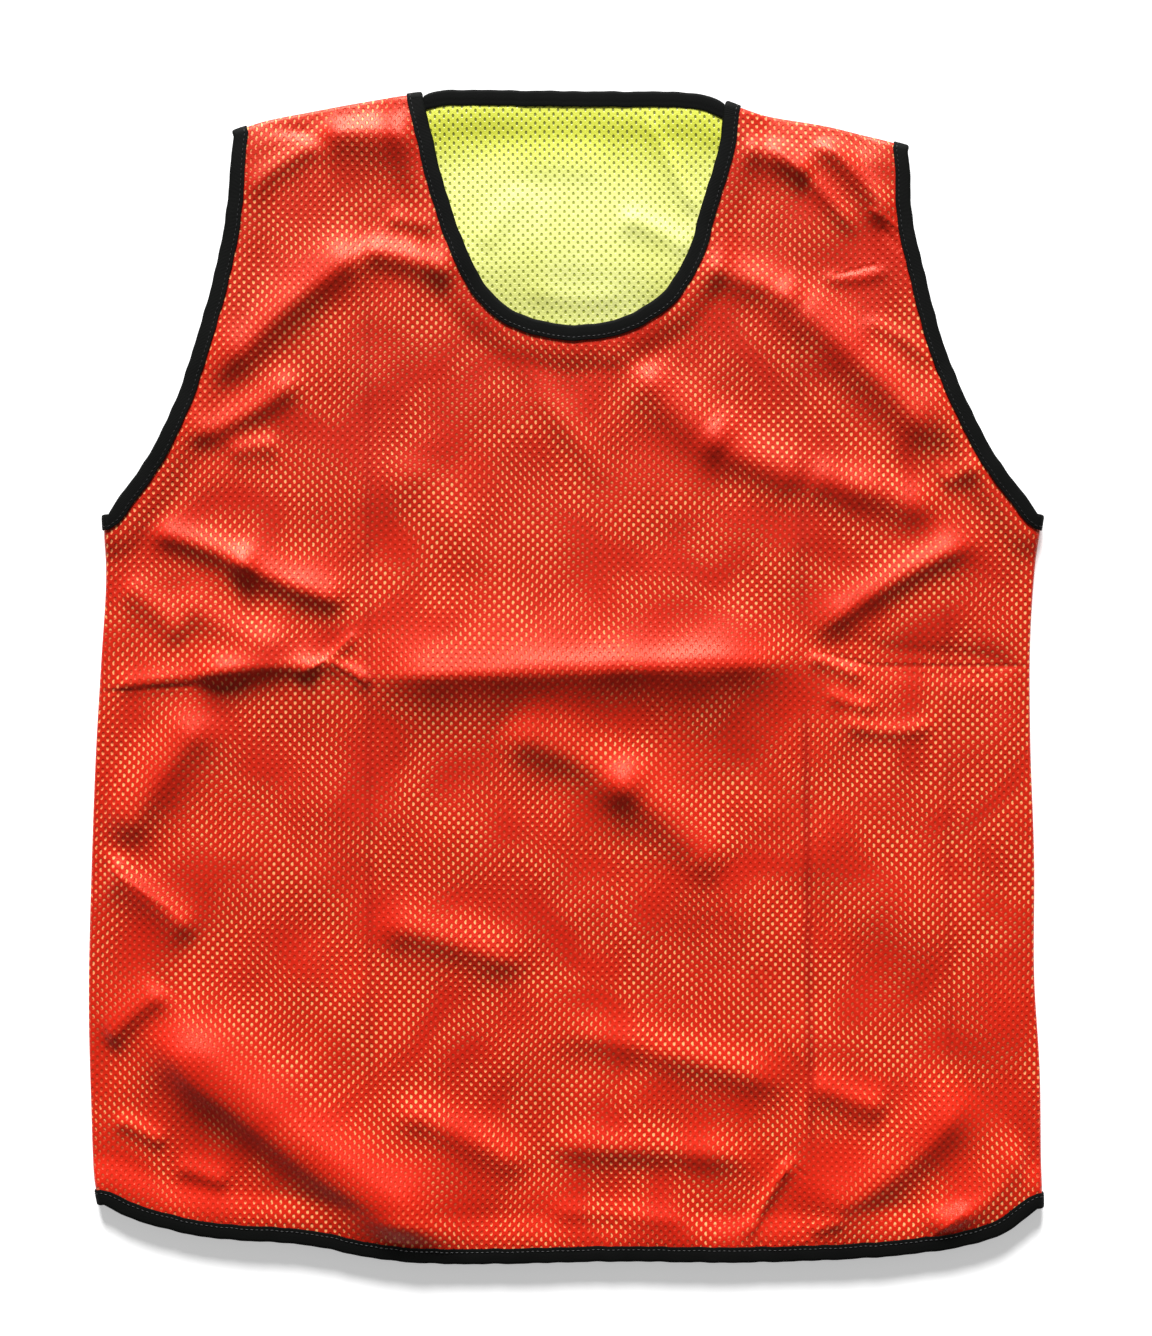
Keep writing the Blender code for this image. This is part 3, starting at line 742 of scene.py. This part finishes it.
def rolled_places(corner, angles, section):
    """Points of the section on the way over a seam."""
    point, along, across = corner
    reach = ROLL_BOUND + section[None, :, 1]
    angles = np.array(angles)[:, None]
    inward = ROLL_BOUND - reach * np.cos(angles)
    plan = point + along * section[None, :, :1] + across * inward[..., None]
    return np.dstack([plan, MIDDLE_BOUND + reach * np.sin(angles)])


OVER_SEAM = np.radians(np.arange(75, -76, -15))


def tape_loop(front, back, ends, section):
    start, end = ends
    return np.vstack([
        level_places(*front, FRONT, section),
        rolled_places(end, OVER_SEAM, section),
        level_places(back[0][::-1], back[1][::-1], BACK, section),
        rolled_places(start, OVER_SEAM[::-1], section),
    ])


def make_tape(name, front, back, ends, seed):
    rings = tape_loop(front, back, ends, SECTION)
    stations, size, _ = rings.shape
    random = np.random.default_rng(seed)
    pull = np.tile(random.normal(0, 1, stations), 3)
    pull = np.convolve(pull, np.hanning(PULL_SPREAD), "same")[stations:2 * stations] * PULL
    outer = (np.abs(SECTION[:, 1]) > LEG_INNER) | (SECTION[:, 0] < -GAP)
    rings[:, outer, 2] += pull[:, None] * np.sign(SECTION[outer, 1])
    grid = np.arange(stations * size).reshape(stations, size)
    a, b = grid, np.roll(grid, -1, axis=1)
    d, c = np.roll(a, -1, axis=0), np.roll(b, -1, axis=0)
    faces = np.column_stack([x.ravel() for x in (a, b, c, d)])
    piece = make_object(name, rings.reshape(-1, 3), faces)
    spin = np.cross(rings[1, 0] - rings[0, 0], rings[0, 1] - rings[0, 0])
    if spin[2] < 0:
        piece.data.flip_normals()
    piece.data.set_sharp_from_angle(angle=TAPE_SHARP)
    along = np.repeat(run_lengths(rings[:, 0]), size)
    attribute = piece.data.attributes.new("along", "FLOAT", "POINT")
    attribute.data.foreach_set("value", along.astype(np.float32))
    print(name, "has", 2 * len(faces), "triangles")
    return piece


LOOPS = {"neck_tape": (EDGES["neck_front"], EDGES["neck_back"], ENDS["neck"])}
for name, edge in (("armhole_tape_left", "armhole_left"),
                   ("armhole_tape_right", "armhole_right"), ("hem_tape", "hem")):
    LOOPS[name] = (EDGES[edge], EDGES[edge], ENDS[edge])
tapes = {}
for number, (name, loop) in enumerate(LOOPS.items()):
    tapes[name] = make_tape(name, *loop, seed=PULL_SEED + number)

# %% [markdown]
# The sewing and the finishes are node trees. A few short calls save much repeating
# when they are built in a script: one makes a node, one feeds a socket with a link
# or a value, and the others make the nodes that are used most.

# %% Node helpers
class Weaver:
    """Short calls for building a node tree."""

    def __init__(self, tree):
        self.tree = tree

    def node(self, kind, **settings):
        node = self.tree.nodes.new(kind)
        for key, value in settings.items():
            setattr(node, key, value)
        return node

    def feed(self, socket, value):
        if isinstance(value, bpy.types.NodeSocket):
            self.tree.links.new(value, socket)
        elif value is not None:
            socket.default_value = value

    def math(self, operation, first, second=None, third=None):
        node = self.node("ShaderNodeMath", operation=operation)
        for socket, value in zip(node.inputs, (first, second, third)):
            self.feed(socket, value)
        return node.outputs[0]

    def vector_math(self, operation, first, second=None):
        node = self.node("ShaderNodeVectorMath", operation=operation)
        self.feed(node.inputs[0], first)
        self.feed(node.inputs[1], second)
        return node.outputs["Value" if operation in ("DOT_PRODUCT", "LENGTH") else "Vector"]

    def scaled(self, vector, factor):
        node = self.node("ShaderNodeVectorMath", operation="SCALE")
        self.feed(node.inputs[0], vector)
        self.feed(node.inputs["Scale"], factor)
        return node.outputs[0]

    def noise(self, vector, scale, detail=2.0):
        node = self.node("ShaderNodeTexNoise")
        self.feed(node.inputs["Vector"], vector)
        node.inputs["Scale"].default_value = scale
        node.inputs["Detail"].default_value = detail
        return node

    def ramp(self, value, low, high, to_low=0.0, to_high=1.0):
        node = self.node("ShaderNodeMapRange", interpolation_type="SMOOTHSTEP")
        for socket, item in zip(node.inputs, (value, low, high, to_low, to_high)):
            self.feed(socket, item)
        return node.outputs["Result"]

    def mix(self, share, first, second):
        node = self.node("ShaderNodeMix", data_type="RGBA")
        self.feed(node.inputs[0], share)
        self.feed(node.inputs[6], first)
        self.feed(node.inputs[7], second)
        return node.outputs[2]

    def bump(self, shader, height, distance, strength):
        node = self.node("ShaderNodeBump")
        node.inputs["Distance"].default_value = distance
        node.inputs["Strength"].default_value = strength
        self.feed(node.inputs["Height"], height)
        self.feed(shader.inputs["Normal"], node.outputs[0])


def new_group(name, kind, inputs, outputs):
    """An empty node group with named sockets, and its two ends to be wired."""
    tree = bpy.data.node_groups.new(name, kind)
    for way, sockets in (("INPUT", inputs), ("OUTPUT", outputs)):
        for label, socket in sockets.items():
            tree.interface.new_socket(label, in_out=way, socket_type="NodeSocket" + socket)
    weave = Weaver(tree)
    return weave, weave.node("NodeGroupInput").outputs, weave.node("NodeGroupOutput").inputs


print("helpers:", [name for name in vars(Weaver) if not name.startswith("_")])

# %% [markdown]
# The sewing is one stitch repeated along a line, which is what Geometry Nodes are
# for. The tree turns the line into a curve, puts a point at every stitch, sets a
# stretched ball on each point along the curve's direction, and ends in real mesh
# with its own material. Its sizes are named inputs, so that one tree sews all tapes.

# %% Tree for the stitches
def stitch_tree():
    sizes = dict.fromkeys(("Pitch", "Stitch Length", "Thread Radius"), "Float")
    weave, given, result = new_group("row of stitches", "GeometryNodeTree",
                                     {"Geometry": "Geometry", **sizes, "Thread": "Material"},
                                     {"Geometry": "Geometry"})
    curve = weave.node("GeometryNodeMeshToCurve")
    weave.feed(curve.inputs["Mesh"], given["Geometry"])
    points = weave.node("GeometryNodeResampleCurve", mode="LENGTH")
    weave.feed(points.inputs["Curve"], curve.outputs["Curve"])
    weave.feed(points.inputs["Length"], given["Pitch"])
    turn = weave.node("FunctionNodeAlignRotationToVector", axis="Z")
    weave.feed(turn.inputs["Vector"], weave.node("GeometryNodeInputTangent").outputs["Tangent"])
    ball = weave.node("GeometryNodeMeshUVSphere")
    for label, value in (("Segments", 6), ("Rings", 4), ("Radius", 1.0)):
        ball.inputs[label].default_value = value
    size = weave.node("ShaderNodeCombineXYZ")
    half = weave.math("MULTIPLY", given["Stitch Length"], 0.5)
    for label, value in (("X", given["Thread Radius"]), ("Y", given["Thread Radius"]), ("Z", half)):
        weave.feed(size.inputs[label], value)
    scatter = weave.node("GeometryNodeInstanceOnPoints")
    for label, value in (("Points", points.outputs["Curve"]), ("Instance", ball.outputs["Mesh"]),
                         ("Rotation", turn.outputs["Rotation"]), ("Scale", size.outputs["Vector"])):
        weave.feed(scatter.inputs[label], value)
    real = weave.node("GeometryNodeRealizeInstances")
    weave.feed(real.inputs["Geometry"], scatter.outputs["Instances"])
    paint = weave.node("GeometryNodeSetMaterial")
    weave.feed(paint.inputs["Geometry"], real.outputs["Geometry"])
    weave.feed(paint.inputs["Material"], given["Thread"])
    weave.feed(result["Geometry"], paint.outputs["Geometry"])
    return weave.tree


STITCHES = stitch_tree()
print("stitch tree inputs:", [item.name for item in STITCHES.interface.items_tree])

# %% [markdown]
# The thread is black, as the tape is, with a faint gloss that picks the stitches out.
# Each tape gets one line of sewing near its free edge, on the front and the back,
# which runs over the seams as the tape does.

# %% Sew the tapes
PITCH = 3.2 * MM
STITCH_LENGTH = 2.5 * MM
THREAD_RADIUS = 0.28 * MM
STITCH_DEPTH = 0.12 * MM
thread, _ = new_material("black thread", 0.5, 0.5, (0.006, 0.006, 0.007, 1.0))


def sew(name, loop):
    line = tape_loop(*loop, np.array([[SEW_LINE, LEG_OUTER - STITCH_DEPTH]]))[:, 0]
    mesh = bpy.data.meshes.new(name)
    edges = [(i, (i + 1) % len(line)) for i in range(len(line))]
    mesh.from_pydata([tuple(point) for point in line], edges, [])
    piece = bpy.data.objects.new(name, mesh)
    scene.collection.objects.link(piece)
    modifier = piece.modifiers.new("sewing", "NODES")
    modifier.node_group = STITCHES
    sizes = {"Pitch": PITCH, "Stitch Length": STITCH_LENGTH, "Thread Radius": THREAD_RADIUS,
             "Thread": thread}
    for item in STITCHES.interface.items_tree:
        if item.name in sizes:
            modifier[item.identifier] = sizes[item.name]
    depsgraph = bpy.context.evaluated_depsgraph_get()
    sewn = bpy.data.meshes.new_from_object(piece.evaluated_get(depsgraph), depsgraph=depsgraph)
    piece.modifiers.clear()
    piece.data = sewn
    sewn.shade_smooth()
    print(name, "has", len(sewn.polygons), "faces")
    return piece


sewing = {name: sew(name.replace("tape", "stitches"), loop) for name, loop in LOOPS.items()}

# %% [markdown]
# Mesh cloth is a knit with pinholes on a staggered lattice. A small node group
# measures how far a point is from the nearest hole of two interleaved grids. The
# same group serves the shell and, turned and stretched a little, the lining that
# shows through: where the two lattices drift in and out of step, moire appears. A
# second group measures how near a point is to a crease that packing pressed in.

# %% Pinhole lattice and pressed crease
def crease_group():
    vectors = dict.fromkeys(("Vector", "Start", "Line"), "Vector")
    weave, given, result = new_group("pressed crease", "ShaderNodeTree",
                                     {**vectors, "Width": "Float"}, {"Depth": "Float"})
    flat = weave.vector_math("MULTIPLY", given["Vector"], (1.0, 1.0, 0.0))
    offset = weave.vector_math("SUBTRACT", flat, given["Start"])
    along = weave.vector_math("DOT_PRODUCT", offset, given["Line"])
    square = weave.vector_math("DOT_PRODUCT", given["Line"], given["Line"])
    share = weave.math("DIVIDE", along, square)
    foot = weave.scaled(given["Line"], share)
    away = weave.vector_math("LENGTH", weave.vector_math("SUBTRACT", offset, foot))
    fall = weave.ramp(away, given["Width"], 0.0)
    ends = weave.math("MULTIPLY", weave.ramp(share, 0.0, 0.12), weave.ramp(share, 1.0, 0.88))
    weave.feed(result["Depth"], weave.math("MULTIPLY", fall, ends))
    return weave.tree


def lattice_group():
    sizes = dict.fromkeys(("Across", "Along", "Half Width", "Half Height", "Turn"), "Float")
    weave, given, result = new_group("pinhole lattice", "ShaderNodeTree",
                                     {"Vector": "Vector", **sizes}, {"Hole": "Float"})
    turned = weave.node("ShaderNodeVectorRotate", rotation_type="Z_AXIS")
    weave.feed(turned.inputs["Vector"], given["Vector"])
    weave.feed(turned.inputs["Angle"], given["Turn"])
    split = weave.node("ShaderNodeSeparateXYZ")
    weave.feed(split.inputs[0], turned.outputs[0])
    near = None
    for shift in (0.0, 0.5):
        squares = []
        for axis, pitch, half in ((0, "Across", "Half Width"), (1, "Along", "Half Height")):
            cell = weave.math("DIVIDE", split.outputs[axis], given[pitch])
            cell = weave.math("FRACT", weave.math("ADD", cell, shift))
            away = weave.math("MULTIPLY", weave.math("SUBTRACT", cell, 0.5), given[pitch])
            away = weave.math("DIVIDE", away, given[half])
            squares.append(weave.math("MULTIPLY", away, away))
        total = weave.math("ADD", *squares)
        near = total if near is None else weave.math("MINIMUM", near, total)
    weave.feed(result["Hole"], weave.ramp(near, 1.7, 0.35))
    return weave.tree


LATTICE = lattice_group()
CREASE = crease_group()
ACROSS = 5.8 * MM
ALONG = 5.7 * MM
SHELL_HOLE = (0.85 * MM, 1.35 * MM)
UNDER_HOLE = (1.5 * MM, 2.0 * MM)
LINING_HOLE = (0.75 * MM, 1.15 * MM)
print("pinholes repeat every", ACROSS / MM, "by", ALONG / MM, "mm")


# %% [markdown]
# The shell's colour is a saturated red. In each pinhole the lining shows, bright
# where the two layers lie together; where a fold lifts the shell off, which the
# "stand_off" attribute of the cloth tells the material, the pinholes fade into the
# red, as painted shade of the gap and a painted highlight on the crests. The filament
# yarn has a soft gloss, so sloping folds turn pink, and a fine bump gives the knit its
# grain. Small pressed creases are a bump too, and the long upright ones a darker line
# of painted shade. The lining is painted paler below the neck's edge, as a highlight,
# and darker at the top, as shade.

# %% Mesh cloth materials
def lattice(weave, vector, across, along, half_width, half_height, turn):
    node = weave.node("ShaderNodeGroup", node_tree=LATTICE)
    values = (vector, across, along, half_width, half_height, turn)
    for socket, value in zip(node.inputs, values):
        weave.feed(socket, value)
    return node.outputs["Hole"]


def wavered(weave, vector, scale, amount):
    """The vector, moved a little to and fro, because knit is never ruler straight."""
    noise = weave.noise(vector, scale).outputs["Color"]
    centred = weave.vector_math("SUBTRACT", noise, (0.5, 0.5, 0.5))
    return weave.vector_math("ADD", vector, weave.scaled(centred, amount))


def knit_grain(weave, vector):
    """Fine rows of loops."""
    fine = weave.node("ShaderNodeMapping")
    weave.feed(fine.inputs["Vector"], vector)
    fine.inputs["Scale"].default_value = (1400.0, 1900.0, 1.0)
    voronoi = weave.node("ShaderNodeTexVoronoi")
    weave.feed(voronoi.inputs["Vector"], fine.outputs[0])
    voronoi.inputs["Scale"].default_value = 1.0
    return voronoi.outputs["Distance"]


def cloth_material(name, roughness, gloss):
    material, shader = new_material(name, roughness, gloss)
    weave = Weaver(material.node_tree)
    vector = weave.node("ShaderNodeTexCoord").outputs["Object"]
    return material, weave, shader, vector


PRESSED = [
    (-298, -11, -232, -6, 3.0, -1.0),
    (-134, 27, -150, 11, 2.6, 1.1),
    (-150, 11, -168, 1, 2.6, 1.1),
    (-150, 7, -128, -7, 2.8, -1.0),
    (156, 15, 196, 6, 3.0, -1.0),
    (190, 6, 297, 6, 3.0, -1.0),
    (94, -122, 122, -190, 3.4, 0.7),
    (118, -182, 150, -248, 3.4, 0.9),
    (141, -303, 116, -356, 3.4, 1.1),
    (134, -304, 154, -318, 2.6, -0.8),
    (156, -356, 140, -360, 2.8, 0.7),
    (252, -338, 228, -356, 2.8, 0.9),
    (168, 253, 198, 261, 3.0, -1.0),
    (190, 296, 212, 282, 2.8, 0.8),
    (198, 284, 212, 268, 2.6, -0.8),
    (-293, -120, -250, -148, 2.8, 0.8),
]
# Each upright crease also gets a darker line of painted shade; the last number says how dark it is.
UPRIGHT = [
    (-126, 274, -124.5, -300, 4.0, 0.45),
    (146, 296, 150, 20, 5.0, 0.35),
    (151, -4, 155, -312, 4.6, 0.9),
    (241, 72, 243, -262, 4.0, 0.4),
]
KNIT_RELIEF = 0.4 * MM
# Heights over which the lining turns from painted shade at the top to a painted highlight below.
LINING_LIGHT_FROM, LINING_LIGHT_BELOW = 345 * MM, 300 * MM


def pressed_lines(weave, vector, table):
    """Thin lines that packing pressed in. Ends and widths are in millimetres."""
    total = 0.0
    for x1, y1, x2, y2, width, strength in table:
        node = weave.node("ShaderNodeGroup", node_tree=CREASE)
        start = (x1 * MM, y1 * MM, 0.0)
        line = ((x2 - x1) * MM, (y2 - y1) * MM, 0.0)
        for socket, value in zip(node.inputs, (vector, start, line, width * MM)):
            weave.feed(socket, value)
        total = weave.math("MULTIPLY_ADD", node.outputs["Depth"], strength, total)
    return total


def bumped(weave, shader, hole, vector, hole_depth, grain_depth, creases=None):
    grain = weave.math("MULTIPLY", knit_grain(weave, vector), grain_depth)
    height = weave.math("SUBTRACT", grain, weave.math("MULTIPLY", hole, hole_depth))
    if creases:
        height = weave.math("ADD", height, creases)
    weave.bump(shader, height, KNIT_RELIEF, 0.8)


def shell_material():
    material, weave, shader, vector = cloth_material("red mesh", 0.44, 0.55)
    shader.inputs["Specular Tint"].default_value = (1.0, 0.6, 0.42, 1.0)
    steady = wavered(weave, vector, 14.0, 4.0 * MM)
    hole = lattice(weave, steady, ACROSS, ALONG, *SHELL_HOLE, 0.02)
    under = wavered(weave, vector, 6.0, 26.0 * MM)
    under_hole = lattice(weave, under, ACROSS * 1.01, ALONG, *UNDER_HOLE, 0.0)
    lining = weave.mix(under_hole, (1.0, 0.42, 0.16, 1.0), (0.50, 0.03, 0.01, 1.0))
    stand_off = weave.node("ShaderNodeAttribute", attribute_name="stand_off").outputs["Fac"]
    # Painted shade of the gap under a lifted fold, and painted highlight on the crests: the
    # pinholes fade into the red as the stand-off grows.
    lift_shade_and_glare = weave.ramp(stand_off, 3.0, 10.0, 1.0, 0.25)
    patch = weave.ramp(weave.noise(vector, 20.0, 1.0).outputs["Fac"], 0.56, 0.68, 1.0, 0.4)
    tone = weave.noise(vector, 9.0, 3.0).outputs["Fac"]
    red = weave.mix(tone, (0.48, 0.005, 0.001, 1.0), (0.66, 0.016, 0.003, 1.0))
    # Painted shade: a darker red line along the upright creases, which also hides their pinholes.
    crease_shade = weave.math("MULTIPLY", pressed_lines(weave, vector, UPRIGHT), 0.55)
    red = weave.mix(crease_shade, red, (0.26, 0.0, 0.0, 1.0))
    seen = weave.math("MULTIPLY", hole, weave.math("MULTIPLY", lift_shade_and_glare, patch))
    seen = weave.math("MULTIPLY", seen, weave.math("SUBTRACT", 1.0, crease_shade))
    color = weave.mix(seen, red, lining)
    weave.feed(shader.inputs["Base Color"], color)
    bumped(weave, shader, hole, vector, 0.8, 0.25, pressed_lines(weave, vector, PRESSED))
    return material


def lining_material():
    material, weave, shader, vector = cloth_material("yellow-green mesh", 0.42, 0.9)
    steady = wavered(weave, vector, 14.0, 3.0 * MM)
    hole = lattice(weave, steady, ACROSS, ALONG, *LINING_HOLE, -0.015)
    tone = weave.noise(vector, 12.0, 3.0).outputs["Fac"]
    split = weave.node("ShaderNodeSeparateXYZ")
    weave.feed(split.inputs[0], vector)
    # Painted light: paler lower down as a highlight, darker at the top as shade, and the holes with
    # it.
    lining_painted_light = weave.ramp(split.outputs["Y"], LINING_LIGHT_FROM, LINING_LIGHT_BELOW)
    lining_painted_light = weave.math("MULTIPLY", lining_painted_light, weave.ramp(tone, 0.35, 0.6, 0.6, 1.0))
    yellow = weave.mix(lining_painted_light, (0.66, 0.70, 0.035, 1.0), (0.93, 0.96, 0.32, 1.0))
    shade = weave.mix(lining_painted_light, (0.15, 0.17, 0.005, 1.0), (0.46, 0.52, 0.05, 1.0))
    color = weave.mix(hole, yellow, shade)
    weave.feed(shader.inputs["Base Color"], color)
    bumped(weave, shader, hole, vector, 0.8, 0.25)
    return material


red_mesh = shell_material()
yellow_mesh = lining_material()
for piece, material in ((front_shell, red_mesh), (back_shell, red_mesh),
                        (front_lining, yellow_mesh), (back_lining, yellow_mesh)):
    piece.data.materials.append(material)
print("cloth finished with", red_mesh.name, "and", yellow_mesh.name)


# %% [markdown]
# The tape is matt black ribbed webbing. Its ribs run across the strip, so they are
# counted along it, with the "along" attribute that each tape carries.

# %% Tape material
RIB_PITCH = 0.9 * MM
RIB_RELIEF = 0.15 * MM


def tape_material():
    material, shader = new_material("black tape", 0.7, 0.08)
    weave = Weaver(material.node_tree)
    along = weave.node("ShaderNodeAttribute", attribute_name="along").outputs["Fac"]
    vector = weave.node("ShaderNodeTexCoord").outputs["Object"]
    ribs = weave.math("SINE", weave.math("MULTIPLY", along, 2 * math.pi / RIB_PITCH))
    fuzz = weave.noise(vector, 900.0, 2.0).outputs["Fac"]
    height = weave.math("ADD", weave.math("MULTIPLY", ribs, 0.3), fuzz)
    weave.bump(shader, height, RIB_RELIEF, 0.5)
    shade = weave.noise(vector, 60.0, 2.0).outputs["Fac"]
    color = weave.mix(shade, (0.0020, 0.0022, 0.0020, 1.0), (0.0040, 0.0045, 0.0040, 1.0))
    weave.feed(shader.inputs["Base Color"], color)
    return material


black_tape = tape_material()
for tape in tapes.values():
    tape.data.materials.append(black_tape)
print("ribs of the tape are", RIB_PITCH / MM, "mm apart")

# %% [markdown]
# Every piece now takes the place of its plain solid. The bib has no joints, so all
# of them ride on the one body.

# %% Say what each piece is
NODE_OF = {
    front_shell: "front_shell", front_lining: "front_lining",
    back_lining: "back_lining", back_shell: "back_shell",
    tapes["neck_tape"]: "neck_binding", tapes["armhole_tape_left"]: "armhole_binding_left",
    tapes["armhole_tape_right"]: "armhole_binding_right", tapes["hem_tape"]: "hem_binding",
}

for piece, node in NODE_OF.items():
    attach(piece, "root")
    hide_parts(node)
for piece in sewing.values():
    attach(piece, "root")

# %% [markdown]
# Here the scene is finished.
